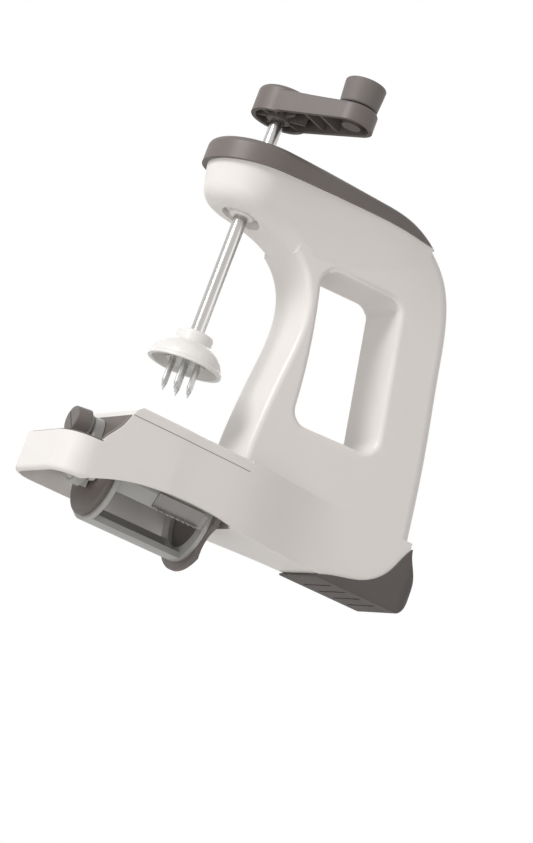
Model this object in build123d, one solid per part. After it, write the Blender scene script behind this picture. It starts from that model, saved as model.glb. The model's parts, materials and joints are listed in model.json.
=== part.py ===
from build123d import *
from math import sin, cos, radians, sqrt
import os

os.makedirs("parts", exist_ok=True)

# Hand spiralizer with a crank. Millimetres. Z is the feed rod's axis, pointing up; X runs from the
# selector nose (-X) to the handle (+X); Y is across. The holder's rim is at z = 0.

# --- driving sizes ---
ROD_R = 4.0                # polished feed rod
ROD_GAP = 0.05             # running gap round the rod
WALL = 2.8                 # moulded wall
ARM_R = 31.0               # round front of the arm, about the rod
ARM_REAR_HW = 17.5         # half width the arm's sides run in to, hidden inside the column
ARM_LOW_HW = 20.5          # half width where the arm meets the column
ARM_LOW_Z = 84.0           # level at which the arm has come in to the column's width
ARM_TOP_Z = 112.0          # joint line between body and top cover, at the front
COVER_TOP_Z = 127.0        # top of the cover, at the front
COL_HW = 20.5              # half width of column and handle
SPLIT_Z = -38.0            # joint between upper body and base
EDGE_R = 6.5               # soft edge of the body

BASE_FRONT_R = 36.0        # round front of the base, about the rod
BASE_REAR_HW = 21.0        # half width of the base at the heel
BASE_BOTTOM = -76.0        # underside of the base
SKIRT_FAR = -86.0          # lower edge of the guard skirt on the far side
TRIM_T = 6.0               # feed ring's plate
FLOOR_T = 1.6              # steel cutting floor
FEED_R = 24.0              # feed opening

NOSE_X = -61.0             # front of the nose
NOSE_HW = 36.0             # half width of the nose
NOSE_WALL = 2.9
NOSE_CORNER = 17.0
DECK_Z = -64.0             # top of the nose
POCKET_X = -31.0           # front face of the bearing wall
BEARING_T = 3.0

DRUM_SIDE = 6.5            # room beside the drum for its rear plate
DRUM_R = BASE_FRONT_R - NOSE_WALL - DRUM_SIDE  # outside of the drum's rails
DRUM_GAP = 0.8             # drum to cutting floor
DRUM_Z = SPLIT_Z - TRIM_T - FLOOR_T - DRUM_GAP - DRUM_R  # axis of the blade drum
RAIL_T = 3.6
DRUM_IN = DRUM_R - RAIL_T  # inside of the drum's rails
DRUM_X0 = -23.5
DRUM_X1 = 35.5
FRONT_PLATE_R = DRUM_R - 2.1
REAR_PLATE_R = DRUM_R + 4.4
PLATE_T = 3.6
AXLE_R = 4.0
AXLE_GAP = 0.05
STATIONS = 3

LEVER_LEN = 20.5           # from the drum's axis to the selector knob
LEVER_X0 = -38.4
LEVER_X1 = -32.6
SEL_KNOB_R = 8.4
SEL_KNOB_X = -50.0
STEM_X0 = -41.0            # front of the stem's collar
STEM_SEAT_R = 3.6
SPIGOT_R = 2.6
SPIGOT_LEN = 5.0

HUB_R = 16.0               # crank hub
HUB_Z = 150.0              # its lower rim
HUB_H = 16.0
CRANK_LEN = 50.0           # rod axis to the knob's axis
CRANK_ANGLE = -63.0        # where the crank rests
KNOB_R = 12.4
KNOB_H = 19.0
PIN_R = 3.0
PIN_GAP = 0.05

HOLDER_R = 21.0            # rim of the vegetable holder
COLLAR_R = ROD_R + 6.2
PRONG_LEN = 15.0
PRONGS = 6


def cyl(r, z0, z1, x=0.0, y=0.0):
    return Pos(x, y, (z0 + z1) / 2) * Cylinder(r, z1 - z0)


def cyl_x(r, x0, x1, y=0.0, z=0.0):
    return Pos((x0 + x1) / 2, y, z) * Rot(0, 90, 0) * Cylinder(r, x1 - x0)


def cyl_y(r, y0, y1, x=0.0, z=0.0):
    return Pos(x, (y0 + y1) / 2, z) * Rot(90, 0, 0) * Cylinder(r, y1 - y0)


def box(x0, x1, y0, y1, z0, z1):
    return Pos((x0 + x1) / 2, (y0 + y1) / 2, (z0 + z1) / 2) * Box(x1 - x0, y1 - y0, z1 - z0)


def side(face, y0, y1):
    # A face drawn in x and z, carried across from y0 to y1.
    return extrude(Plane.XZ.offset(-y0) * face, amount=-(y1 - y0))


def soften(solid, edges, sizes):
    # The largest of the given radii that the edges take.
    for r in sizes:
        try:
            got = fillet(edges, r)
            if got.is_valid and got.volume > 0:
                return got
        except Exception:
            continue
    return solid


def outline(curves):
    return make_face(Wire(curves))


def export(shape, name):
    shape = shape if isinstance(shape, (Compound, Solid, Part)) else Part(shape)
    shape.label = name
    export_step(shape, "parts/" + name + ".step")


# ---------------------------------------------------------------- upper body
SLEEVE_R = ROD_R + 1.6      # rotating sleeve that guides the rod
BUSH_SEAT_R = SLEEVE_R + 3.4  # seat of the two bushes in the arm
BUSH_FACE_Z = 96.6          # flat in the arm that the lower bush bears on
BUSH_WALL = 4.4             # wall round the lower bush
BOSSES = [(128, 92), (53, -24), (136, -24), (139, 40)]


def rib_x(x, hw, z0, z1):
    return box(x - 0.9, x + 0.9, -hw, hw, z0, z1)


TAIL_X = 110.0              # where cover and handle meet at the rear
TAIL_Z = 120.4
SEAM_LINE = [(-45, ARM_TOP_Z - 0.8), (20, ARM_TOP_Z + 4.8), (60, ARM_TOP_Z + 8.2), (84, ARM_TOP_Z + 9.4),
             (98, ARM_TOP_Z + 9.0), (TAIL_X, TAIL_Z)]


def upper_profile(t=0.0):
    # Side view of arm, column and handle, drawn t inside the outer skin.
    front = Spline((44 + t, SPLIT_Z - 2), (44 + t, -8), (47 + t, 24), (48 + t, 50), (42 + t, 69 + t),
                   (30 + t, 81 + t), (10, 88.5 + t), (-12, 91 + t))
    low = Line((-12, 91 + t), (-45, 93 + t))
    nose = Line((-45, 93 + t), (-45, ARM_TOP_Z - 0.8 - t))
    top = Spline(*[(x, z - t) for x, z in SEAM_LINE[:-1]], (TAIL_X - t, TAIL_Z - t))
    back = Spline((TAIL_X - t, TAIL_Z - t), (117 - t, 115 - t), (124 - t, 107.5 - t * 0.6), (131 - t, 95),
                  (140.5 - t, 58), (149.5 - t, 14), (158 - t, SPLIT_Z - 2))
    foot = Line((158 - t, SPLIT_Z - 2), (44 + t, SPLIT_Z - 2))
    return outline([front, low, nose, top, back, foot])


def window_profile(t=0.0):
    # The hand opening, drawn t outside its edge.
    face = outline([
        ThreePointArc((48 - t, 82 + t), (57.5 - t, 44), (63 - t, -5 - t)),
        Line((63 - t, -5 - t), (118 + t, -3 - t)),
        Line((118 + t, -3 - t), (101 + t, 84 + t)),
        Line((101 + t, 84 + t), (48 - t, 82 + t)),
    ])
    return fillet(face.vertices(), 9.0 + t * 0.5)


def boat(hw_front, hw_rear, z):
    # Plan of the arm: round about the rod, running back to a straight rear.
    k = (hw_front - hw_rear) / 135.0
    a = radians(90) - k
    px, py = hw_front * cos(a), hw_front * sin(a)
    rear = 150.0
    edge = hw_rear
    return Plane.XY.offset(z) * outline([
        ThreePointArc((px, py), (-hw_front, 0), (px, -py)),
        Line((px, -py), (rear, -edge)),
        Line((rear, -edge), (rear, edge)),
        Line((rear, edge), (px, py)),
    ])


def arm_block(t=0.0):
    low = boat(ARM_LOW_HW + 0.5 - t, ARM_REAR_HW - t, ARM_LOW_Z - 4)
    high = boat(ARM_R - 0.3 - t, ARM_REAR_HW - 0.3 - t, ARM_TOP_Z + 12)
    return loft([low, high])


def upper_body():
    column = side(upper_profile(), -COL_HW, COL_HW) - side(window_profile(), -60, 60)
    rim = [e for e in column.edges() if abs(abs(e.center().Y) - COL_HW) < 0.01]
    window_rim = [e for e in rim if 47 < e.center().X < 119.5 and -6 < e.center().Z < 85]
    column = soften(column, window_rim, (4.2, 3.6, 3.0))
    rim = [e for e in column.edges() if abs(abs(e.center().Y) - COL_HW) < 0.01 and e.length > 60]
    column = soften(column, [e for e in rim if e.center().X < 60 and e.center().Z < 60], (4.2, 3.6, 3.0))
    rim = [e for e in column.edges() if abs(abs(e.center().Y) - COL_HW) < 0.01 and e.length > 60]
    column = soften(column, [e for e in rim if e.center().X > 120], (EDGE_R + 3, EDGE_R, 4.5))
    column = column & box(30, 200, -60, 60, -60, 140)
    prism = side(upper_profile(), -60, 60)
    arm = prism & arm_block() & box(-60, 108, -60, 60, ARM_LOW_Z - 4, 140)
    arm = arm - side(window_profile(), -60, 60)
    low_edges = [e for e in arm.edges() if 84.5 < e.center().Z < 100 and abs(e.center().Y) > 6
                 and e.center().X < 60]
    arm = soften(arm, low_edges, (11, 9, 7, 5, 3.5, 2))
    outer = (column + arm) & box(-60, 200, -60, 60, SPLIT_Z, 140)
    inner = side(upper_profile(WALL), -COL_HW + WALL + 1.2, COL_HW - WALL - 1.2)
    inner = inner & box(10, 200, -60, 60, -60, 140)
    inner = inner + (side(upper_profile(WALL), -60, 60) & arm_block(WALL + 1)
                     & box(-60, 100, -60, 60, ARM_LOW_Z - 4, 140))
    inner = inner - side(window_profile(WALL), -60, 60)
    inner = inner & box(-60, 200, -60, 60, SPLIT_Z + 3, 200)
    ribs = cyl(BUSH_SEAT_R + BUSH_WALL, 80, 140)
    for x in (-18, 18, 46, 74):
        ribs = ribs + rib_x(x, 40, 80, 140)
    for x, z in BOSSES:
        ribs = ribs + cyl_y(4.2, -30, 30, x, z)
    shell = outer - (inner - ribs)
    shell = shell - cyl(BUSH_SEAT_R, 60, 140) - cyl(BUSH_SEAT_R + 2.4, 60, BUSH_FACE_Z)
    return shell


def screw_cut(x, z):
    cut = cyl_y(1.5, -12, 30, x, z)
    return cut + cyl_y(3.0, COL_HW - 3.4, 40, x, z)


def body_halves():
    shell = upper_body()
    for x, z in BOSSES:
        shell = shell - screw_cut(x, z)
    near = shell & box(-80, 220, -60, 0, -60, 160)
    far = shell & box(-80, 220, 0, 60, -60, 160)
    export(near, "body_near")
    export(far, "body_far")
    return near, far


def body_screws():
    one = cyl_y(1.45, -9, COL_HW - 3.4) + cyl_y(2.8, COL_HW - 3.4, COL_HW - 1.4)
    one = one - box(-2.0, 2.0, COL_HW - 2.4, COL_HW, -0.4, 0.4) - box(-0.4, 0.4, COL_HW - 2.4, COL_HW, -2.0, 2.0)
    parts = [Pos(x, 0, z) * one for x, z in BOSSES]
    export(Compound(children=parts), "body_screws")


def top_cover():
    low = Spline(*SEAM_LINE)
    top = Spline((TAIL_X, TAIL_Z), (101, COVER_TOP_Z - 1.6), (88, COVER_TOP_Z + 2.2), (66, COVER_TOP_Z + 2.9),
                 (20, COVER_TOP_Z + 1.4), (-45, COVER_TOP_Z - 1.5))
    face = outline([low, top, Line((-45, COVER_TOP_Z - 1.5), (-45, ARM_TOP_Z - 0.8))])
    plan = extrude(boat(ARM_R + 0.2, ARM_REAR_HW + 0.2, 100), 40)
    plan = plan + box(60, 130, -COL_HW - 0.1, COL_HW + 0.1, 100, 140)
    solid = side(face, -60, 60) & plan
    edges = [e for e in solid.edges() if e.center().Z > COVER_TOP_Z - 4.5 and e.length > 18
             and e.center().X < 100 and abs(e.center().Y) > 2]
    solid = soften(solid, edges, (4.0, 3.0, 2.0, 1.2, 0.7))
    room = extrude(boat(ARM_R - WALL, ARM_REAR_HW - WALL, 100), COVER_TOP_Z - 3.0 - 100)
    room = room & box(-60, 90, -60, 60, 90, 140)
    ribs = cyl(BUSH_SEAT_R + 2.6, 80, 140)
    for x in (-18, 18, 46, 74):
        ribs = ribs + rib_x(x, 40, 80, 140)
    solid = solid - (room - ribs)
    solid = solid - cyl(BUSH_SEAT_R, 60, 140) - cyl(BUSH_SEAT_R + 2.4, COVER_TOP_Z - 1.5, 140)
    export(solid, "top_cover")


def bush_top():
    z = COVER_TOP_Z - 1.5
    body = cyl(BUSH_SEAT_R - 0.02, z - 13, z) + cyl(BUSH_SEAT_R + 2.3, z, z + 3.4)
    body = soften(body, [e for e in body.edges() if abs(e.center().Z - z - 3.4) < 0.01], (1.2, 0.6))
    export(body - cyl(SLEEVE_R + ROD_GAP, 60, 160), "bush_top")


def bush_low():
    z = BUSH_FACE_Z
    body = cyl(BUSH_SEAT_R - 0.02, z, z + 13) + cyl(BUSH_SEAT_R + 2.3, z - 3.2, z)
    body = soften(body, [e for e in body.edges() if abs(e.center().Z - z + 3.2) < 0.01], (1.2, 0.6))
    export(body - cyl(SLEEVE_R + ROD_GAP, 60, 160), "bush_low")


def drive_sleeve():
    low = BUSH_FACE_Z - 3.2
    high = COVER_TOP_Z + 1.9
    body = cyl(SLEEVE_R, low - 0.4, high + 0.4)
    body = body + cyl(SLEEVE_R + 1.5, low - 3.0, low - 0.3) + cyl(SLEEVE_R + 1.5, high + 0.3, high + 2.2)
    edges = [e for e in body.edges() if abs(e.center().Z - low + 3.0) < 0.01
             or abs(e.center().Z - high - 2.2) < 0.01]
    body = soften(body, edges, (0.8, 0.4))
    export(body - cyl(ROD_R + ROD_GAP, 60, 160), "drive_sleeve")


def grip_insert():
    # Soft strip that lines the front of the hand opening, on the far half.
    face = outline([
        ThreePointArc((48, 82), (57.5, 44), (63, -5)),
        Line((63, -5), (70, -4)),
        ThreePointArc((70, -4), (64.5, 44), (56, 81)),
        Line((56, 81), (48, 82)),
    ])
    solid = side(face & window_profile(), 3.0, 12.5)
    solid = soften(solid, [e for e in solid.edges() if e.length > 60 and e.center().X > 60], (1.5, 0.8))
    export(solid, "grip_insert")


# ---------------------------------------------------------------- base
def base_plan(t=0.0):
    r = BASE_FRONT_R - t
    hw = BASE_REAR_HW - t
    k = (r - hw) / 150.0
    a = radians(90) - k
    px, py = r * cos(a), r * sin(a)
    bend = 112.0
    rear = 170.0 - t
    face = outline([
        ThreePointArc((px, py), (-r, 0), (px, -py)),
        Spline((px, -py), (48, -r + 3.0), (bend, -hw), tangents=[(1, k), (1, 0)]),
        Line((bend, -hw), (rear, -hw)),
        Line((rear, -hw), (rear, hw)),
        Line((rear, hw), (bend, hw)),
        Spline((bend, hw), (48, r - 3.0), (px, py), tangents=[(-1, 0), (-1, k)]),
    ])
    corners = [v for v in face.vertices() if v.X > 160 - t]
    return fillet(corners, max(9.0 - t, 3.0))


def nose_plan(t=0.0):
    face = Pos((NOSE_X + t) / 2, 0) * Rectangle(-(NOSE_X + t), 2 * (NOSE_HW - t))
    corners = [v for v in face.vertices() if v.X < NOSE_X / 2]
    return fillet(corners, NOSE_CORNER - t)


def slope_cut(lift=0.0):
    # What is cleared above the S-shaped slope from the feed ring down to the nose deck.
    s = lift
    return outline([
        Spline((-20, SPLIT_Z + 1 + s), (-29, SPLIT_Z - 1.5 + s), (-34.5, -51 + s), (-42, DECK_Z + 1.6 + s),
               (-52, DECK_Z + s), tangents=[(-1, 0), (-1, 0)]),
        Line((-52, DECK_Z + s), (-90, DECK_Z - 1 + s)),
        Line((-90, DECK_Z - 1 + s), (-90, 20)),
        Line((-90, 20), (-20, 20)),
        Line((-20, 20), (-20, SPLIT_Z + 1 + s)),
    ])


def foot_line():
    # Where the rubber heel meets the base, from the rear edge forward to the underside.
    return Spline((175, SPLIT_Z + 1.5), (158, -43), (150, -58), (138, -68), (120, -73), (104, BASE_BOTTOM - 3))


def foot_region():
    return outline([foot_line(), Line((104, BASE_BOTTOM - 3), (104, -100)), Line((104, -100), (190, -100)),
                    Line((190, -100), (190, SPLIT_Z + 1.5)), Line((190, SPLIT_Z + 1.5), (175, SPLIT_Z + 1.5))])


def heel_back(t=0.0):
    # Rear limit of base and foot, seen from the side.
    return outline([
        Spline((158.5 - t, SPLIT_Z), (162 - t, -50), (168.5 - t, -62), (168 - t, -70), (160 - t, BASE_BOTTOM - 2 + t)),
        Line((160 - t, BASE_BOTTOM - 2 + t), (-90, BASE_BOTTOM - 2 + t)),
        Line((-90, BASE_BOTTOM - 2 + t), (-90, SPLIT_Z)),
        Line((-90, SPLIT_Z), (158.5 - t, SPLIT_Z)),
    ])


def base_outer():
    rear = extrude(Plane.XY.offset(BASE_BOTTOM) * base_plan(), SPLIT_Z - BASE_BOTTOM)
    rear = rear & side(heel_back(), -60, 60) - side(foot_region(), -60, 60)
    bottom = [e for e in rear.edges() if abs(e.center().Z - BASE_BOTTOM) < 0.01]
    rear = soften(rear, bottom, (5.0, 3.5, 2.0))
    front = extrude(Plane.XY.offset(SKIRT_FAR) * base_plan(), SPLIT_Z - SKIRT_FAR)
    nose = extrude(Plane.XY.offset(SKIRT_FAR) * nose_plan(), SPLIT_Z - SKIRT_FAR)
    front = (front + nose) & box(-80, 49, -60, 60, -90, 0)
    low = [e for e in front.edges() if abs(e.center().Z - SKIRT_FAR) < 0.01 and e.center().X < 48]
    front = soften(front, low, (2.5, 1.6, 1.0))
    near_cut = outline([
        Spline((-54, -90), (-40, -83.5), (-22, -77.5), (4, -73.8), (30, -73.6), (52, BASE_BOTTOM)),
        Line((52, BASE_BOTTOM), (52, -95)),
        Line((52, -95), (-54, -95)),
        Line((-54, -95), (-54, -90)),
    ])
    far_cut = outline([
        Spline((26, SKIRT_FAR - 1), (36, SKIRT_FAR + 1.5), (46, BASE_BOTTOM - 2), (52, BASE_BOTTOM)),
        Line((52, BASE_BOTTOM), (52, -95)),
        Line((52, -95), (26, -95)),
        Line((26, -95), (26, SKIRT_FAR - 1)),
    ])
    front = front - side(near_cut, -60, 0) - side(far_cut, 0, 60)
    solid = front + (rear & box(44, 200, -60, 60, -100, 0))
    return solid - side(slope_cut(), -60, 60)


def base_housing():
    solid = base_outer()
    pocket = extrude(Plane.XY.offset(-100) * nose_plan(NOSE_WALL), 100) & box(-80, POCKET_X, -60, 60, -100, 0)
    drum_room = extrude(Plane.XY.offset(-100) * base_plan(NOSE_WALL), 100 + SPLIT_Z - TRIM_T)
    drum_room = drum_room + extrude(Plane.XY.offset(-100) * nose_plan(NOSE_WALL), 100 + SPLIT_Z - TRIM_T)
    drum_room = drum_room & box(POCKET_X + BEARING_T, 46, -60, 60, -100, 0)
    heel_room = extrude(Plane.XY.offset(BASE_BOTTOM + 3) * base_plan(WALL), SPLIT_Z - 3 - BASE_BOTTOM - 3)
    heel_room = heel_room & box(49, 152, -60, 60, -100, 0) - side(foot_region(), -60, 60)
    grown = Pos(-3.0, 0, 3.0) * side(foot_region(), -60, 60)
    heel_room = heel_room - grown
    for x in (72, 96, 120):
        heel_room = heel_room - rib_x(x, 40, -100, 0)
    solid = solid - pocket - drum_room - heel_room
    seat = box(-60, 43.5, -60, 60, SPLIT_Z - TRIM_T, 0)
    solid = solid - seat
    # Ends of the bearing wall are cut back to a tongue that carries the drum's journal.
    wall_cut = outline([
        Line((-60, -66), (-10, -66)), Line((-10, -66), (-10, DRUM_Z)),
        ThreePointArc((-10, DRUM_Z), (0, DRUM_Z - 10), (10, DRUM_Z)),
        Line((10, DRUM_Z), (10, -66)), Line((10, -66), (60, -66)), Line((60, -66), (60, -110)),
        Line((60, -110), (-60, -110)), Line((-60, -110), (-60, -66)),
    ])
    cut = extrude(Plane.YZ.offset(POCKET_X - 0.5) * wall_cut, BEARING_T + 1)
    keep = extrude(Plane.XY.offset(-100) * nose_plan(NOSE_WALL), 100)
    solid = solid - (cut & keep)
    solid = solid - cyl_x(AXLE_R + AXLE_GAP, POCKET_X - 2, POCKET_X + BEARING_T + 2, 0, DRUM_Z)
    export(solid, "base_housing")


def feed_ring():
    solid = extrude(Plane.XY.offset(SPLIT_Z - TRIM_T) * base_plan(), TRIM_T)
    solid = solid + extrude(Plane.XY.offset(SPLIT_Z - TRIM_T) * nose_plan(), TRIM_T)
    solid = solid & box(-60, 43.5, -60, 60, -60, 0)
    solid = solid - side(slope_cut(), -60, 60)
    top = [e for e in solid.edges() if e.center().Z > SPLIT_Z - 2.4 and abs(e.center().Y) > 12
           and e.length > 25]
    solid = soften(solid, top, (2.2, 1.4, 0.8))
    solid = solid - cyl(FEED_R, -60, 0)
    mouth = [e for e in solid.edges() if e.geom_type == GeomType.CIRCLE
             and abs(e.radius - FEED_R) < 0.01 and e.center().Z > SPLIT_Z - 1]
    solid = soften(solid, mouth, (1.8, 1.0, 0.5))
    solid = solid - cyl_x(REAR_PLATE_R + 0.7, DRUM_X1 - 0.7, DRUM_X1 + PLATE_T + 0.7, 0, DRUM_Z)
    export(solid, "feed_ring")


def cutting_floor():
    z = SPLIT_Z - TRIM_T
    solid = extrude(Plane.XY.offset(z - FLOOR_T) * base_plan(NOSE_WALL + 0.3), FLOOR_T)
    solid = solid + extrude(Plane.XY.offset(z - FLOOR_T) * nose_plan(NOSE_WALL + 0.3), FLOOR_T)
    solid = solid & box(POCKET_X + BEARING_T + 0.2, DRUM_X1 - 1.0, -60, 60, -60, 0)
    slot = Pos((DRUM_X0 + DRUM_X1) / 2 - 1.0, 0, z) * Box(DRUM_X1 - DRUM_X0 - 4.0, 24.0, 10)
    slot = fillet(slot.edges().filter_by(Axis.Z), 3.0)
    solid = solid - slot
    for x in (-20, 24):
        for y in (-28, 28):
            solid = solid - cyl(1.3, z - 5, z + 1, x, y)
    export(solid, "cutting_floor")


def pocket_liner():
    # Dark lining of the pocket with a lip along the deck.
    outer = extrude(Plane.XY.offset(-84) * nose_plan(NOSE_WALL), 60)
    inner = extrude(Plane.XY.offset(-90) * nose_plan(NOSE_WALL + 1.2), 80)
    solid = (outer - inner) & box(-80, POCKET_X, -60, 60, -84, 0)
    back = extrude(Plane.YZ.offset(POCKET_X - 1.2) * (Pos(0, -55) * Rectangle(2 * (NOSE_HW - NOSE_WALL), 22)), 1.2)
    back = back & (Pos(0, 0, -84) * extrude(nose_plan(NOSE_WALL), 60))
    back = back & box(-80, 0, -40, 40, -66, SPLIT_Z - TRIM_T)
    solid = solid + back
    solid = solid - side(slope_cut(0.9), -60, 60)
    floor_cut = outline([
        Spline((-62, -78.5), (-40, -76), (-25, -73)),
        Line((-25, -73), (-25, -95)), Line((-25, -95), (-62, -95)), Line((-62, -95), (-62, -78.5)),
    ])
    solid = solid - side(floor_cut, -60, 60)
    lip_out = extrude(Plane.XY.offset(-84) * nose_plan(NOSE_WALL - 1.6), 60)
    lip = (lip_out - inner) & box(-80, POCKET_X - 1.0, -60, 60, -84, 0)
    lip = lip & (side(slope_cut(0.0), -60, 60) - side(slope_cut(0.9), -60, 60))
    solid = (solid + lip) & box(-80, 0, -60, 60, -100, SPLIT_Z - TRIM_T)
    solid = solid - cyl_x(AXLE_R + 1.0, -40, -20, 0, DRUM_Z)
    export(solid, "pocket_liner")


def heel_foot():
    grown = extrude(Plane.XY.offset(-90) * base_plan(-1.0), 60)
    solid = side(heel_back(-1.0), -60, 60) & side(foot_region(), -60, 60) & grown
    solid = solid & box(90, 200, -60, 60, BASE_BOTTOM - 2, SPLIT_Z - 1)
    edges = [e for e in solid.edges() if e.center().Z > -100 and e.length > 12]
    solid = soften(solid, [e for e in edges if abs(e.center().Z - BASE_BOTTOM + 2) < 0.05], (1.5, 0.8))
    for x in (122, 132, 142, 152):
        solid = solid - box(x - 0.8, x + 0.8, -15, 15, BASE_BOTTOM - 3, BASE_BOTTOM - 1)
    export(solid, "heel_foot")


def rear_bearing():
    face = outline([
        Line((-13, SPLIT_Z - TRIM_T), (13, SPLIT_Z - TRIM_T)), Line((13, SPLIT_Z - TRIM_T), (9, DRUM_Z)),
        ThreePointArc((9, DRUM_Z), (0, DRUM_Z - 9), (-9, DRUM_Z)), Line((-9, DRUM_Z), (-13, SPLIT_Z - TRIM_T)),
    ])
    solid = extrude(Plane.YZ.offset(DRUM_X1 + PLATE_T + 1.2) * face, 46 - (DRUM_X1 + PLATE_T + 1.2))
    solid = solid - cyl_x(AXLE_R + AXLE_GAP, 30, 50, 0, DRUM_Z)
    solid = soften(solid, [e for e in solid.edges() if e.center().X < DRUM_X1 + PLATE_T + 1.3 and e.length > 20], (1.0, 0.5))
    export(solid, "rear_bearing")


def bearing_clip():
    # Clip that holds the drum's rear end, beside the near wall.
    x0, x1 = DRUM_X1 + PLATE_T + 1.4, 46.0
    y0 = -BASE_FRONT_R + 6.2
    body = box(x0, x1, y0, y0 + 7.2, SPLIT_Z - TRIM_T - 14, SPLIT_Z - TRIM_T)
    body = body - box(x0 - 1, x1 - 1.6, y0 + 1.6, y0 + 5.6, SPLIT_Z - TRIM_T - 12, SPLIT_Z - TRIM_T - 2)
    export(body, "bearing_clip")


# ---------------------------------------------------------------- rod, crank and holder
def feed_rod():
    rod = cyl(ROD_R, 4.0, HUB_Z + 10)
    rod = soften(rod, [e for e in rod.edges()], (0.6,))
    export(rod, "feed_rod")


def at_crank(shape):
    return Rot(0, 0, CRANK_ANGLE) * shape


def crank_plan(r0, r1):
    d = (r0 - r1) / CRANK_LEN
    c, s = sqrt(1 - d * d), d
    return outline([
        ThreePointArc((r0 * s, r0 * c), (-r0, 0), (r0 * s, -r0 * c)),
        Line((r0 * s, -r0 * c), (CRANK_LEN + r1 * s, -r1 * c)),
        ThreePointArc((CRANK_LEN + r1 * s, -r1 * c), (CRANK_LEN + r1, 0), (CRANK_LEN + r1 * s, r1 * c)),
        Line((CRANK_LEN + r1 * s, r1 * c), (r0 * s, r0 * c)),
    ])


def crank_arm():
    hub = cyl(HUB_R, HUB_Z, HUB_Z + HUB_H)
    hub = soften(hub, [e for e in hub.edges() if e.center().Z > HUB_Z + HUB_H - 1], (3.0, 2.0))
    bar = extrude(Plane.XY.offset(HUB_Z + 0.6) * crank_plan(HUB_R - 1.2, 12.2), HUB_H - 3.4)
    tip = side(outline([
        Line((10, HUB_Z + 1.6 + HUB_H), (CRANK_LEN + 16, HUB_Z + HUB_H)), Line((CRANK_LEN + 16, HUB_Z + HUB_H), (CRANK_LEN + 16, HUB_Z + 11.0)),
        Spline((CRANK_LEN + 16, HUB_Z + 11.0), (CRANK_LEN - 14, HUB_Z + 11.6), (10, HUB_Z + 13.4)),
        Line((10, HUB_Z + 13.4), (10, HUB_Z + 1.6 + HUB_H)),
    ]), -40, 40)
    bar = bar - tip
    bar = soften(bar, [e for e in bar.edges() if e.center().Z > HUB_Z + 10 and e.length > 12], (1.6, 1.0, 0.6))
    solid = hub + bar
    room = extrude(Plane.XY.offset(HUB_Z - 1) * crank_plan(HUB_R - 3.6, 9.8), 9.6)
    room = room + cyl(HUB_R - 2.6, HUB_Z - 1, HUB_Z + 11.5)
    keep = cyl(ROD_R + 2.6, HUB_Z, HUB_Z + HUB_H) + cyl(PIN_R + 2.4, HUB_Z + 0.6, HUB_Z + 12, CRANK_LEN, 0)
    for i in range(8):
        web = box(0, HUB_R, -0.7, 0.7, HUB_Z + 1.2, HUB_Z + 12)
        keep = keep + Rot(0, 0, 22.5 + 45 * i) * web
    for x in (24, 34):
        keep = keep + box(x - 0.7, x + 0.7, -20, 20, HUB_Z + 1.6, HUB_Z + 12)
    solid = solid - (room - keep)
    solid = solid - cyl(ROD_R, HUB_Z - 2, HUB_Z + 10)
    solid = solid - cyl(PIN_R, HUB_Z + 3.0, HUB_Z + 20, CRANK_LEN, 0)
    export(at_crank(solid), "crank_arm")


def knob_pin():
    z0 = HUB_Z + 3.0
    z1 = HUB_Z + 11.6 + KNOB_H - 3.0
    pin = cyl(PIN_R, z0, z1, CRANK_LEN, 0) + cyl(PIN_R + 1.6, z1, z1 + 1.2, CRANK_LEN, 0)
    export(at_crank(pin), "knob_pin")


def crank_knob():
    z0 = HUB_Z + 12.0
    z1 = z0 + KNOB_H
    section = outline([
        Line((PIN_R + PIN_GAP, z0), (KNOB_R - 1.6, z0)),
        Spline((KNOB_R - 1.6, z0), (KNOB_R - 0.5, z0 + 0.45 * KNOB_H), (KNOB_R, z1 - 3.2)),
        ThreePointArc((KNOB_R, z1 - 3.2), (KNOB_R - 1.0, z1 - 1.0), (KNOB_R - 3.4, z1 - 0.2)),
        Spline((KNOB_R - 3.4, z1 - 0.2), (KNOB_R / 2, z1 + 0.25), (0, z1 + 0.4)),
        Line((0, z1 + 0.4), (0, z1 - 1.6)),
        Line((0, z1 - 1.6), (PIN_R + 1.9, z1 - 1.6)),
        Line((PIN_R + 1.9, z1 - 1.6), (PIN_R + 1.9, z1 - 3.6)),
        Line((PIN_R + 1.9, z1 - 3.6), (PIN_R + PIN_GAP, z1 - 3.6)),
        Line((PIN_R + PIN_GAP, z1 - 3.6), (PIN_R + PIN_GAP, z0)),
    ])
    knob = revolve(Plane.XZ * section, Axis.Z)
    export(at_crank(Pos(CRANK_LEN, 0, 0) * knob), "crank_knob")


def holder_dome():
    r = HOLDER_R
    section = outline([
        Line((ROD_R + 2.0, 13.4), (COLLAR_R, 13.4)),
        ThreePointArc((COLLAR_R, 13.4), (r - 4.4, 9.6), (r - 0.8, 2.4)),
        Line((r - 0.8, 2.4), (r, 1.6)),
        Line((r, 1.6), (r, 0)),
        Line((r, 0), (r - 2.2, 0)),
        ThreePointArc((r - 2.2, 0), (r - 6.4, 7.2), (COLLAR_R - 2, 10.6)),
        Line((COLLAR_R - 2, 10.6), (ROD_R + 2.0, 10.6)),
        Line((ROD_R + 2.0, 10.6), (ROD_R + 2.0, 13.4)),
    ])
    dome = revolve(Plane.XZ * section, Axis.Z)
    for i in range(6):
        dome = dome + (Rot(0, 0, 60 * i) * box(ROD_R + 2.2, r - 7.5, -0.8, 0.8, 6.0, 11.4))
    export(dome, "holder_dome")


def holder_collar():
    body = cyl(COLLAR_R, 13.4, 19.6)
    body = soften(body, [e for e in body.edges() if e.center().Z > 19], (1.6, 1.0))
    body = body + cyl(ROD_R + 2.0, 4.0, 13.4)
    export(body - cyl(ROD_R, 0, 30), "holder_collar")


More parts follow.
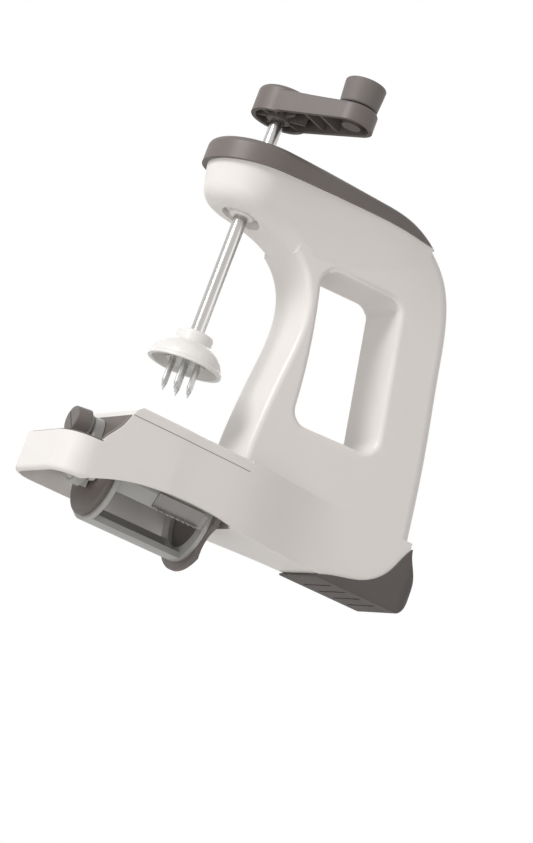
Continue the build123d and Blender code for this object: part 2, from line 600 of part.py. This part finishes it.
def holder_prongs():
    disc = cyl(11.0, 2.0, 3.8) + cyl(ROD_R + 2.0, 3.8, 4.0)
    section = outline([
        Line((0, 2.4), (1.2, 2.4)), Line((1.2, 2.4), (1.2, -PRONG_LEN + 4)),
        Line((1.2, -PRONG_LEN + 4), (0.15, -PRONG_LEN)), Line((0.15, -PRONG_LEN), (0, -PRONG_LEN)),
        Line((0, -PRONG_LEN), (0, 2.4)),
    ])
    prong = revolve(Plane.XZ * section, Axis.Z)
    body = disc + prong
    for i in range(PRONGS):
        body = body + (Rot(0, 0, 360 / PRONGS * i) * (Pos(8.2, 0, 0) * prong))
    for i in range(6):
        body = body + (Rot(0, 0, 60 * i) * box(ROD_R + 2.3, 10.6, -0.5, 0.5, 3.6, 6.0))
    export(body, "holder_prongs")


# ---------------------------------------------------------------- blade drum
def sector(r0, r1, half, x0, x1, mid):
    ring = cyl_x(r1, x0, x1) - cyl_x(r0, x0 - 1, x1 + 1)
    reach = 2 * r1
    wedge = make_face(Polyline((0, 0), (reach * -sin(radians(half)), reach * cos(radians(half))),
                               (reach * sin(radians(half)), reach * cos(radians(half))), close=True))
    piece = ring & extrude(Plane.YZ.offset(x0) * wedge, x1 - x0)
    return Rot(mid, 0, 0) * piece


def drum_frame():
    body = cyl_x(DRUM_R, DRUM_X0, DRUM_X0 + 2.4) - cyl_x(16.5, DRUM_X0 - 1, DRUM_X0 + 4)
    body = body + (cyl_x(DRUM_R, DRUM_X1 - 2.4, DRUM_X1) - cyl_x(19.0, DRUM_X1 - 4, DRUM_X1 + 1))
    for i in range(STATIONS):
        body = body + sector(DRUM_IN, DRUM_R, 18, DRUM_X0, DRUM_X1, 60 + 120 * i)
        tray = box(DRUM_X0, DRUM_X1, 3.2, 17.0, DRUM_R - 4.6, DRUM_R - 2.6)
        body = body + Rot(120 * i, 0, 0) * (tray & cyl_x(DRUM_R, DRUM_X0, DRUM_X1))
    export(Pos(0, 0, DRUM_Z) * body, "drum_frame")


def drum_front_plate():
    x0 = POCKET_X + BEARING_T + 0.9
    plate = cyl_x(FRONT_PLATE_R, x0, DRUM_X0)
    plate = soften(plate, [e for e in plate.edges() if e.center().X < x0 + 0.1], (1.4, 0.8))
    plate = plate + cyl_x(AXLE_R, LEVER_X0 + 0.4, x0)
    plate = plate - cyl_x(12.0, x0 + 2.2, DRUM_X0 + 1)
    export(Pos(0, 0, DRUM_Z) * plate, "drum_front_plate")


def drum_rear_plate():
    x1 = DRUM_X1 + PLATE_T
    plate = cyl_x(REAR_PLATE_R, DRUM_X1, x1)
    for i in range(STATIONS):
        scoop = cyl_x(15.0, DRUM_X1 - 1, x1 + 1, 0, REAR_PLATE_R + 9.5)
        plate = plate - Rot(120 * i, 0, 0) * scoop
    edges = [e for e in plate.edges() if e.geom_type == GeomType.CIRCLE and e.length > 8]
    plate = soften(plate, edges, (1.0, 0.6))
    plate = plate + cyl_x(AXLE_R, x1, 45.6)
    export(Pos(0, 0, DRUM_Z) * plate, "drum_rear_plate")


def blade_ribbon():
    # Straight blade: a sheet ground to an edge that stands up through the floor's slot.
    seat = DRUM_R - 2.6
    edge = DRUM_R + 1.1
    sheet = make_face(Polyline((14.0, seat + 0.05), (1.2, edge), (3.6, edge + 0.15), (14.0, seat + 0.95), close=True))
    body = extrude(Plane.YZ.offset(DRUM_X0 + 5) * sheet, DRUM_X1 - DRUM_X0 - 10)
    export(Pos(0, 0, DRUM_Z) * body, "blade_ribbon")


def comb(teeth, pitch, height, x0):
    base = box(x0 - 1, x0 + teeth * pitch + 1, 4.2, 13.0, DRUM_R - 2.6, DRUM_R - 1.8)
    body = base + box(x0 - 1, x0 + teeth * pitch + 1, 4.2, 5.0, DRUM_R - 2.6, DRUM_R - 0.6)
    for i in range(teeth):
        x = x0 + i * pitch
        tooth = make_face(Polyline((x + 0.1, DRUM_R - 0.6), (x + pitch - 0.1, DRUM_R - 0.6),
                                   (x + pitch / 2, DRUM_R - 0.6 + height), close=True))
        body = body + side(tooth, 4.2, 5.0)
    return body


def blade_comb():
    body = comb(8, 3.3, 2.3, DRUM_X0 + 26)
    export(Pos(0, 0, DRUM_Z) * (Rot(120, 0, 0) * body), "blade_comb")


def blade_wide_comb():
    body = comb(5, 5.2, 2.3, DRUM_X0 + 26)
    export(Pos(0, 0, DRUM_Z) * (Rot(240, 0, 0) * body), "blade_wide_comb")


def selector_lever():
    r0, r1 = 11.0, 6.4
    d = (r0 - r1) / LEVER_LEN
    c, s = sqrt(1 - d * d), d
    face = outline([
        ThreePointArc((-r0 * c, r0 * s), (0, -r0), (r0 * c, r0 * s)),
        Line((r0 * c, r0 * s), (r1 * c, LEVER_LEN + r1 * s)),
        ThreePointArc((r1 * c, LEVER_LEN + r1 * s), (0, LEVER_LEN + r1), (-r1 * c, LEVER_LEN + r1 * s)),
        Line((-r1 * c, LEVER_LEN + r1 * s), (-r0 * c, r0 * s)),
    ])
    body = extrude(Plane.YZ.offset(LEVER_X0) * face, LEVER_X1 - LEVER_X0)
    body = soften(body, [e for e in body.edges() if e.center().X < LEVER_X0 + 0.1], (1.6, 1.0))
    cone = Pos(LEVER_X0 - 2.6, 0, 0) * (Rot(0, -90, 0) * Cone(9.0, 5.0, 5.2))
    body = body + cone
    body = body - cyl_x(AXLE_R + 0.02, LEVER_X0 + 0.4, LEVER_X1 + 1)
    body = body - cyl_x(STEM_SEAT_R, LEVER_X0 - 1, LEVER_X1 + 1, 0, LEVER_LEN)
    export(Pos(0, 0, DRUM_Z) * body, "selector_lever")


def selector_knob():
    # Turns a quarter on the stem's spigot to free the drum. The groove across its face shows which way.
    z = DRUM_Z + LEVER_LEN
    x1 = STEM_X0 - 0.3
    length = x1 - SEL_KNOB_X
    knob = Pos(SEL_KNOB_X + length / 2, 0, z) * (Rot(0, -90, 0) * Cone(SEL_KNOB_R, SEL_KNOB_R - 0.9, length))
    knob = soften(knob, [e for e in knob.edges() if e.center().X < SEL_KNOB_X + 0.1], (1.2, 0.8))
    groove = box(SEL_KNOB_X - 1, SEL_KNOB_X + 0.6, -0.5, 0.5, -SEL_KNOB_R * 2, SEL_KNOB_R * 2)
    knob = knob - Pos(0, 0, z) * (Rot(-45, 0, 0) * groove)
    knob = knob - cyl_x(SPIGOT_R + AXLE_GAP, STEM_X0 - SPIGOT_LEN - 0.4, x1 + 1, 0, z)
    export(knob, "selector_knob")


def selector_stem():
    z = DRUM_Z + LEVER_LEN
    body = cyl_x(6.6, STEM_X0, STEM_X0 + 1.8, 0, z) + cyl_x(4.9, STEM_X0 + 1.8, LEVER_X0, 0, z)
    body = body + cyl_x(STEM_SEAT_R - 0.02, LEVER_X0, LEVER_X1, 0, z)
    body = body + cyl_x(SPIGOT_R, STEM_X0 - SPIGOT_LEN, STEM_X0, 0, z)
    export(body, "selector_stem")


for build in (body_halves, body_screws, top_cover, bush_top, bush_low, drive_sleeve, grip_insert,
              base_housing, feed_ring, cutting_floor, pocket_liner, heel_foot, rear_bearing, bearing_clip,
              feed_rod, crank_arm, knob_pin, crank_knob, holder_dome, holder_collar, holder_prongs,
              drum_frame, drum_front_plate, drum_rear_plate, blade_ribbon, blade_comb, blade_wide_comb,
              selector_lever, selector_knob, selector_stem):
    build()
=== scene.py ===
import json
import math
import bmesh
import bpy
from mathutils import Matrix, Vector


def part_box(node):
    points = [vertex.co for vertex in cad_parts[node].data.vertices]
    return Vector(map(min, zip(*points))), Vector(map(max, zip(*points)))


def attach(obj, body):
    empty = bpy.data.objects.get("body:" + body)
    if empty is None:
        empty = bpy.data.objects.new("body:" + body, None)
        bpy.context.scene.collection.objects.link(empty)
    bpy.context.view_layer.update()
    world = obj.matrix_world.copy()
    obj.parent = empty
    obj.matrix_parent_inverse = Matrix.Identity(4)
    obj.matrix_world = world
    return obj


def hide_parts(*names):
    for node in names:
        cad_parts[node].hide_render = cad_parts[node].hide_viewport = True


# Hand spiralizer with a crank. Metres. +Z runs up the feed rod, +X from the selector nose to the handle.

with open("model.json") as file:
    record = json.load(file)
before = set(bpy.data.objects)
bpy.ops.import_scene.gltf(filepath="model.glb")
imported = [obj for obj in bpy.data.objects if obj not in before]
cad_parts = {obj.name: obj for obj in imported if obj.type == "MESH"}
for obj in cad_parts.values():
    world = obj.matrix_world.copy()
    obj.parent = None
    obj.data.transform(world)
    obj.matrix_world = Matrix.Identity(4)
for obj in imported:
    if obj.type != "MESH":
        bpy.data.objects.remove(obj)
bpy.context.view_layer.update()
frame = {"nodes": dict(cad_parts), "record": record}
NODES = frame["nodes"]


# ---------------------------------------------------------------- material helpers
# Noise scales are in waves per metre, lengths in metres.
FACE_DOT = 0.985          # bevelled against true normal: above this the face counts as open
EDGE_DOT = 0.86           # and below this it counts as an edge
EDGE_RADIUS = 0.0006      # reach of the rubbing and of the painted edge highlight along an edge
CLOUD_SCALE = 14.0        # broad drift of a plastic's colour
EDGE_PATCH_SCALE = 160.0         # patches in the rubbed edges and their painted highlight
SHEEN_SCALE = 38.0        # patches of gloss on a plastic
GRAIN_SCALE = 2600.0      # spark-eroded grain of the mould
GRAIN_STRENGTH = 0.25
COAT_ROUGH = 0.25
LINE_SCALE = 900.0        # drawn or ground lines of a metal, across them
LINE_STRENGTH = 0.2
METAL_CLOUD_SCALE = 30.0  # patches of gloss on a metal


class Tree:
    """A material's node tree, with short calls for adding and linking nodes."""

    def __init__(self, name):
        self.mat = bpy.data.materials.new(name)
        self.mat.use_nodes = True
        self.tree = self.mat.node_tree
        self.bsdf = self.tree.nodes["Principled BSDF"]
        self.place = self.add("ShaderNodeTexCoord").outputs["Object"]

    def add(self, kind, **values):
        node = self.tree.nodes.new(kind)
        for key, value in values.items():
            setattr(node, key, value)
        return node

    def link(self, a, b):
        self.tree.links.new(a, b)

    def noise(self, scale, detail=3.0, rough=0.5, place=None):
        node = self.add("ShaderNodeTexNoise")
        node.inputs["Scale"].default_value = scale
        node.inputs["Detail"].default_value = detail
        node.inputs["Roughness"].default_value = rough
        self.link(place or self.place, node.inputs["Vector"])
        return node.outputs["Fac"]

    def stretched(self, scale):
        node = self.add("ShaderNodeMapping")
        node.inputs["Scale"].default_value = scale
        self.link(self.place, node.inputs["Vector"])
        return node.outputs["Vector"]

    def span(self, source, low, high, out_low, out_high):
        node = self.add("ShaderNodeMapRange")
        node.inputs["From Min"].default_value = low
        node.inputs["From Max"].default_value = high
        node.inputs["To Min"].default_value = out_low
        node.inputs["To Max"].default_value = out_high
        self.link(source, node.inputs["Value"])
        return node.outputs["Result"]

    def blend(self, factor, a, b):
        node = self.add("ShaderNodeMix", data_type="RGBA")
        self.link(factor, node.inputs["Factor"])
        for socket, value in ((node.inputs["A"], a), (node.inputs["B"], b)):
            if isinstance(value, tuple):
                socket.default_value = (*value, 1.0)
            else:
                self.link(value, socket)
        return node.outputs["Result"]

    def bump(self, height, strength, distance):
        node = self.add("ShaderNodeBump")
        node.inputs["Strength"].default_value = strength
        node.inputs["Distance"].default_value = distance
        self.link(height, node.inputs["Height"])
        return node.outputs["Normal"]

    def edges(self, radius):
        # 0 on open faces, rising to 1 within about the radius of an edge.
        bevel = self.add("ShaderNodeBevel", samples=4)
        bevel.inputs["Radius"].default_value = radius
        shape = self.add("ShaderNodeNewGeometry")
        dot = self.add("ShaderNodeVectorMath", operation="DOT_PRODUCT")
        self.link(bevel.outputs["Normal"], dot.inputs[0])
        self.link(shape.outputs["Normal"], dot.inputs[1])
        return self.span(dot.outputs["Value"], FACE_DOT, EDGE_DOT, 0.0, 1.0)


def shade(colour, k):
    return tuple(min(1.0, c * k) for c in colour)


def moulded(name, colour, rough, drift=0.03, depth=0.00002, wear_and_highlight=0.35, pale=1.25, coat=0.0):
    # Injection-moulded plastic or rubber: faint colour drift, spark-eroded grain, and edges made paler,
    # partly as rubbing and partly as a painted highlight.
    t = Tree(name)
    cloud = t.noise(CLOUD_SCALE, 4.0, 0.6)
    base = t.blend(t.span(cloud, 0.3, 0.7, 0.0, 1.0), shade(colour, 1.0 - drift), shade(colour, 1.0 + drift))
    edge = t.edges(EDGE_RADIUS)
    edge_patches = t.noise(EDGE_PATCH_SCALE, 3.0, 0.6)
    # Painted highlight and wear: open edges are lifted towards a paler tone in patches.
    worn_and_highlit = t.add("ShaderNodeMath", operation="MULTIPLY")
    t.link(edge, worn_and_highlit.inputs[0])
    t.link(t.span(edge_patches, 0.35, 0.75, 0.1, wear_and_highlight), worn_and_highlit.inputs[1])
    t.link(t.blend(worn_and_highlit.outputs["Value"], base, shade(colour, pale)), t.bsdf.inputs["Base Color"])
    sheen = t.noise(SHEEN_SCALE, 5.0, 0.65)
    t.link(t.span(sheen, 0.25, 0.75, rough * 0.88, rough * 1.14), t.bsdf.inputs["Roughness"])
    t.link(t.bump(t.noise(GRAIN_SCALE, 2.0, 0.5), GRAIN_STRENGTH, depth), t.bsdf.inputs["Normal"])
    t.bsdf.inputs["Coat Weight"].default_value = coat
    t.bsdf.inputs["Coat Roughness"].default_value = COAT_ROUGH
    return t.mat


def metal(name, colour, rough, stretch, streak=0.10, depth=0.00001):
    # Steel with drawn or ground lines along one direction.
    t = Tree(name)
    lines = t.noise(LINE_SCALE, 3.0, 0.6, t.stretched(stretch))
    cloud = t.noise(METAL_CLOUD_SCALE, 4.0, 0.6)
    dark, light = shade(colour, 1.0 - streak), shade(colour, 1.0 + streak * 0.4)
    t.link(t.blend(t.span(lines, 0.3, 0.7, 0.0, 1.0), dark, light), t.bsdf.inputs["Base Color"])
    t.link(t.span(cloud, 0.3, 0.7, rough * 0.8, rough * 1.35), t.bsdf.inputs["Roughness"])
    t.link(t.bump(lines, LINE_STRENGTH, depth), t.bsdf.inputs["Normal"])
    t.bsdf.inputs["Metallic"].default_value = 1.0
    return t.mat


WHITE = (0.80, 0.775, 0.752)
HOLDER_WHITE = (0.83, 0.82, 0.80)
TAUPE = (0.150, 0.130, 0.122)
KNOB_GREY = (0.168, 0.150, 0.143)
GRIP_BLACK = (0.10, 0.090, 0.086)
FOOT_BLACK = (0.108, 0.096, 0.093)
LIGHT_GREY = (0.42, 0.42, 0.41)
ROD_STEEL = (0.56, 0.545, 0.53)
PLAIN_STEEL = (0.60, 0.60, 0.59)
BLADE_STEEL = (0.34, 0.33, 0.32)
ALONG_Z = (1.0, 1.0, 0.02)     # lines drawn along the rod
ALONG_X = (0.04, 1.0, 1.0)
ACROSS_X = (1.0, 0.05, 0.05)   # lines ground across the blades' length

PLASTICS = {
    # colour, roughness, then what differs from the plain moulding
    "body_white": (WHITE, 0.36, dict(drift=0.012, wear_and_highlight=0.15, pale=1.04, coat=0.12)),
    "holder_white": (HOLDER_WHITE, 0.30, dict(drift=0.012, wear_and_highlight=0.1, pale=1.03, coat=0.2)),
    "taupe_plastic": (TAUPE, 0.46, dict(drift=0.06, depth=0.00003, wear_and_highlight=0.5, pale=1.5)),
    "knob_grey": (KNOB_GREY, 0.58, dict(drift=0.05, depth=0.00003, wear_and_highlight=0.4, pale=1.4)),
    "grip_rubber": (GRIP_BLACK, 0.62, dict(drift=0.06, depth=0.00004, wear_and_highlight=0.3, pale=1.35)),
    "foot_rubber": (FOOT_BLACK, 0.66, dict(drift=0.07, depth=0.00004, wear_and_highlight=0.5, pale=1.4)),
    "light_grey": (LIGHT_GREY, 0.42, dict(drift=0.03, wear_and_highlight=0.25, pale=1.15)),
}
METALS = {
    # colour, roughness, direction of the lines, depth of their tone
    "polished_rod": (ROD_STEEL, 0.20, ALONG_Z, 0.16),
    "steel_plain": (PLAIN_STEEL, 0.30, ALONG_X, 0.10),
    "blade_steel": (BLADE_STEEL, 0.30, ACROSS_X, 0.05),
}
MATERIALS = {name: moulded(name, colour, rough, **rest) for name, (colour, rough, rest) in PLASTICS.items()}
MATERIALS.update({name: metal(name, *values) for name, values in METALS.items()})
for row in frame["record"]["subparts"]:
    node = NODES[row["node"]]
    finish = MATERIALS[row["material_slot"]]
    if not node.material_slots:
        node.data.materials.append(finish)
    for slot in node.material_slots:
        slot.material = finish


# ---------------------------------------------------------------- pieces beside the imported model
WELD = 1e-7               # points nearer than this are one
SHARP_ANGLE = 35.0        # degrees: an edge that turns more than this is drawn sharp


def mesh_piece(name, verts, faces, body, finish):
    mesh = bpy.data.meshes.new(name)
    mesh.from_pydata(verts, [], faces)
    work = bmesh.new()
    work.from_mesh(mesh)
    bmesh.ops.remove_doubles(work, verts=work.verts, dist=WELD)
    bmesh.ops.recalc_face_normals(work, faces=work.faces)
    work.to_mesh(mesh)
    work.free()
    mesh.materials.append(finish)
    mesh.shade_smooth()
    mesh.set_sharp_from_angle(angle=math.radians(SHARP_ANGLE))
    piece = bpy.data.objects.new(name, mesh)
    bpy.context.scene.collection.objects.link(piece)
    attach(piece, body)
    return piece


def turned(name, profile, centre, body, finish, sides=96):
    # A lathe form: profile points (radius, height) from the axis out and back, about an upright axis.
    x, y = centre
    verts = []
    for r, z in profile:
        for i in range(sides):
            a = 2 * math.pi * i / sides
            verts.append((x + r * math.cos(a), y + r * math.sin(a), z))
    faces = []
    rows = len(profile)
    for j in range(rows):
        k = (j + 1) % rows
        for i in range(sides):
            n = (i + 1) % sides
            faces.append((j * sides + i, j * sides + n, k * sides + n, k * sides + i))
    return mesh_piece(name, verts, faces, body, finish)


# The crank knob, as a lathe form.
KNOB_RADIUS = 0.0117
KNOB_HEIGHT = 0.0152
KNOB_TAPER = 0.0009       # how much narrower the knob is at its foot
WAIST_SHARE = 0.4         # share of the taper that is left at half height
FOOT_BREAK = 0.0005       # the broken edge at its foot, inwards
FOOT_RISE = 0.0006        # and upwards
KNOB_EDGE = 0.0012        # round of the upper edge
EDGE_STEPS = 6
EDGE_DEPTH = KNOB_EDGE * 1.6  # from the top's middle down to where the edge starts to round
CROWN_SHARE = 0.55        # how far out the nearly flat middle of the top reaches
CROWN_DROP = 0.0001       # how much lower it is there
AXIS_R = 0.0001           # a lathe form stops this far from its axis

# The pin that it turns on.
PIN_R = 0.003
PIN_GAP = 0.00005         # running gap round the pin
PIN_BREAK = 0.0003        # broken edge at the pin's foot
PIN_SIDES = 48
SEAT_DEPTH = 0.0036       # from the knob's top to the seat under the pin's head
ROOF_DEPTH = 0.0016       # from the knob's top to the roof over the pin's head
ROOM_OUT = 0.0019         # how far the room for the head reaches beyond the pin
HEAD_OUT = 0.0016         # how far the head reaches beyond the pin
HEAD_GAP = 0.0002         # gap under and over the head


def crank_knob_form():
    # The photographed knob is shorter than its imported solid, so it and its pin are made again here.
    low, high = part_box("crank_knob")
    pin_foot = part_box("knob_pin")[0][2]
    centre = ((low[0] + high[0]) / 2, (low[1] + high[1]) / 2)
    base = low[2]
    top = base + KNOB_HEIGHT
    seat = top - SEAT_DEPTH
    roof = top - ROOF_DEPTH
    foot_r = KNOB_RADIUS - KNOB_TAPER
    waist_r = KNOB_RADIUS - KNOB_TAPER * WAIST_SHARE
    rim = KNOB_RADIUS - KNOB_EDGE
    shoulder = top - EDGE_DEPTH
    profile = [(PIN_R + PIN_GAP, base), (foot_r - FOOT_BREAK, base), (foot_r, base + FOOT_RISE),
               (waist_r, base + KNOB_HEIGHT * 0.5), (KNOB_RADIUS, shoulder)]
    for i in range(1, EDGE_STEPS + 1):
        a = math.pi / 2 * i / EDGE_STEPS
        profile.append((rim + KNOB_EDGE * math.cos(a), shoulder + KNOB_EDGE * math.sin(a)))
    profile += [(rim * CROWN_SHARE, top - CROWN_DROP), (AXIS_R, top), (AXIS_R, roof),
                (PIN_R + ROOM_OUT, roof), (PIN_R + ROOM_OUT, seat), (PIN_R + PIN_GAP, seat)]
    knob = turned("knob_cap", profile, centre, "crank_grip", MATERIALS["knob_grey"])
    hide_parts("crank_knob")

    neck = seat + HEAD_GAP
    head_top = roof - HEAD_GAP
    pin_profile = [(AXIS_R, pin_foot), (PIN_R - PIN_BREAK, pin_foot), (PIN_R, pin_foot + PIN_BREAK),
                   (PIN_R, neck), (PIN_R + HEAD_OUT, neck), (PIN_R + HEAD_OUT, head_top), (AXIS_R, head_top)]
    pin = turned("knob_axle", pin_profile, centre, "rod", MATERIALS["steel_plain"], PIN_SIDES)
    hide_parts("knob_pin")


SEAM_WIDTH = 0.00045
SEAM_PROUD = 0.00004      # how far the line stands out of the wall
SEAM_DEPTH = 0.0004       # how far it reaches into it
SEAM_MIN_Y = 0.031        # it is drawn where the rim lies further out than this
SEAM_LEVEL = 0.00001      # how near the lower edge a point of the rim lies
# Painted shadow: the strip's dark colour stands for the shade in the joint.
SEAM_SHADE_BROWN = (0.30, 0.25, 0.22)
SEAM_SHADE_MATERIAL = moulded("seam_shadow", SEAM_SHADE_BROWN, 0.7, drift=0.05, wear_and_highlight=0.0, pale=1.0)


def ring_seam_shadow(name, side):
    # A painted shadow: the fine dark line of shade in the joint where the feed ring lies on the base, along
    # one side.
    mesh = NODES["feed_ring"].data
    z = min(v.co.z for v in mesh.vertices)
    rim = {(round(v.co.x, 6), round(v.co.y, 6)) for v in mesh.vertices
           if abs(v.co.z - z) < SEAM_LEVEL and v.co.y * side > SEAM_MIN_Y}
    path = sorted(rim)
    section = ((SEAM_PROUD, -SEAM_WIDTH / 2), (SEAM_PROUD, SEAM_WIDTH / 2),
               (-SEAM_DEPTH, SEAM_WIDTH / 2), (-SEAM_DEPTH, -SEAM_WIDTH / 2))
    verts = [(x, y + side * out, z + up) for x, y in path for out, up in section]
    faces = [(0, 1, 2, 3), tuple(4 * (len(path) - 1) + i for i in range(4))]
    for j in range(len(path) - 1):
        for i in range(4):
            n = (i + 1) % 4
            faces.append((4 * j + i, 4 * j + n, 4 * j + 4 + n, 4 * j + 4 + i))
    mesh_piece(name, verts, faces, "frame", SEAM_SHADE_MATERIAL)


crank_knob_form()
ring_seam_shadow("seam_shadow_near", -1)
ring_seam_shadow("seam_shadow_far", 1)


# ---------------------------------------------------------------- camera, as in the photograph
VIEW_AZ = math.radians(-25.0)
VIEW_EL = math.radians(-12.66)
VIEW_ROLL = math.radians(-20.46)
VIEW_CENTRE = Vector((-0.5104, -1.2183, -0.3089))
LENS = 106.76
SENSOR = 36.0
CLIP_NEAR = 0.05
CLIP_FAR = 60.0

level_reach = math.cos(VIEW_EL)
back = Vector((math.sin(VIEW_AZ) * level_reach, -math.cos(VIEW_AZ) * level_reach, math.sin(VIEW_EL)))
level = Vector((math.cos(VIEW_AZ), math.sin(VIEW_AZ), 0.0))
upright = back.cross(level)
right = math.cos(VIEW_ROLL) * level - math.sin(VIEW_ROLL) * upright
up = math.sin(VIEW_ROLL) * level + math.cos(VIEW_ROLL) * upright

camera = bpy.data.objects.new("camera", bpy.data.cameras.new("camera"))
bpy.context.scene.collection.objects.link(camera)
camera.data.sensor_width = SENSOR
camera.data.lens = LENS
camera.data.clip_start = CLIP_NEAR
camera.data.clip_end = CLIP_FAR
camera.matrix_world = Matrix.Translation(VIEW_CENTRE) @ Matrix((right, up, back)).transposed().to_4x4()
bpy.context.scene.camera = camera


# ---------------------------------------------------------------- stage and light
FLOOR_Z = -0.46           # below the camera
FLOOR_HALF = 9.0
FLOOR_TONES = ((0.90, 0.90, 0.90), (0.93, 0.93, 0.93))
FLOOR_ROUGH = 0.8
FLOOR_GLOW = 0.65         # how far the floor is lifted towards white where the camera sees it
GLOW_COLOUR = (1.0, 0.995, 0.99, 1.0)
WORLD_STRENGTH = 0.42
WORLD_TINT = (1.0, 0.955, 0.915, 1.0)  # light on matt faces, a little warm
WORLD_SEEN = (1.0, 1.0, 1.0, 1.0)      # what the camera and reflections see
LAMPS = (
    # name, place, aim, width, watts
    ("key", (-2.0, -0.55, 1.1), (0.03, 0, 0.03), 0.9, 33.0),
    ("fill", (1.6, -1.9, 0.5), (0.05, 0, 0.0), 1.4, 3.0),
    ("low", (-0.9, -0.8, -0.42), (0.0, 0, -0.07), 0.8, 2.0),
    ("rear", (0.9, 1.8, 1.2), (0.05, 0, 0.03), 1.4, 8.0),
)


def stage_floor():
    mesh = bpy.data.meshes.new("floor")
    r = FLOOR_HALF
    corners = [(-r, -r, FLOOR_Z), (r, -r, FLOOR_Z), (r, r, FLOOR_Z), (-r, r, FLOOR_Z)]
    mesh.from_pydata(corners, [], [(0, 1, 2, 3)])
    floor = bpy.data.objects.new("floor", mesh)
    bpy.context.scene.collection.objects.link(floor)
    t = Tree("floor")
    t.link(t.blend(t.noise(3.0, 4.0), *FLOOR_TONES), t.bsdf.inputs["Base Color"])
    t.bsdf.inputs["Roughness"].default_value = FLOOR_ROUGH
    glow = t.add("ShaderNodeEmission")
    glow.inputs["Color"].default_value = GLOW_COLOUR
    share = t.span(t.add("ShaderNodeLightPath").outputs["Is Camera Ray"], 0.0, 1.0, 0.0, FLOOR_GLOW)
    mix = t.add("ShaderNodeMixShader")
    t.link(share, mix.inputs["Fac"])
    t.link(t.bsdf.outputs["BSDF"], mix.inputs[1])
    t.link(glow.outputs["Emission"], mix.inputs[2])
    t.link(mix.outputs["Shader"], t.tree.nodes["Material Output"].inputs["Surface"])
    mesh.materials.append(t.mat)


def world_light():
    world = bpy.data.worlds.new("world")
    bpy.context.scene.world = world
    world.use_nodes = True
    tree = world.node_tree
    plain = tree.nodes["Background"]
    plain.inputs["Color"].default_value = WORLD_TINT
    plain.inputs["Strength"].default_value = WORLD_STRENGTH
    seen = tree.nodes.new("ShaderNodeBackground")
    seen.inputs["Color"].default_value = WORLD_SEEN
    path = tree.nodes.new("ShaderNodeLightPath")
    seen_by = path.outputs["Is Camera Ray"]
    for ray in ("Is Glossy Ray", "Is Transmission Ray"):
        add = tree.nodes.new("ShaderNodeMath")
        add.operation = "ADD"
        add.use_clamp = True
        tree.links.new(seen_by, add.inputs[0])
        tree.links.new(path.outputs[ray], add.inputs[1])
        seen_by = add.outputs["Value"]
    mix = tree.nodes.new("ShaderNodeMixShader")
    tree.links.new(seen_by, mix.inputs["Fac"])
    tree.links.new(plain.outputs["Background"], mix.inputs[1])
    tree.links.new(seen.outputs["Background"], mix.inputs[2])
    tree.links.new(mix.outputs["Shader"], tree.nodes["World Output"].inputs["Surface"])


def softbox(name, place, target, size, power):
    data = bpy.data.lights.new(name, "AREA")
    data.shape = "DISK"
    data.size = size
    data.energy = power
    lamp = bpy.data.objects.new(name, data)
    bpy.context.scene.collection.objects.link(lamp)
    aim = Vector(target) - Vector(place)
    lamp.matrix_world = Matrix.Translation(place) @ aim.to_track_quat("-Z", "Y").to_matrix().to_4x4()


stage_floor()
world_light()
for lamp in LAMPS:
    softbox(*lamp)

scene = bpy.context.scene
scene.view_settings.view_transform = "Standard"
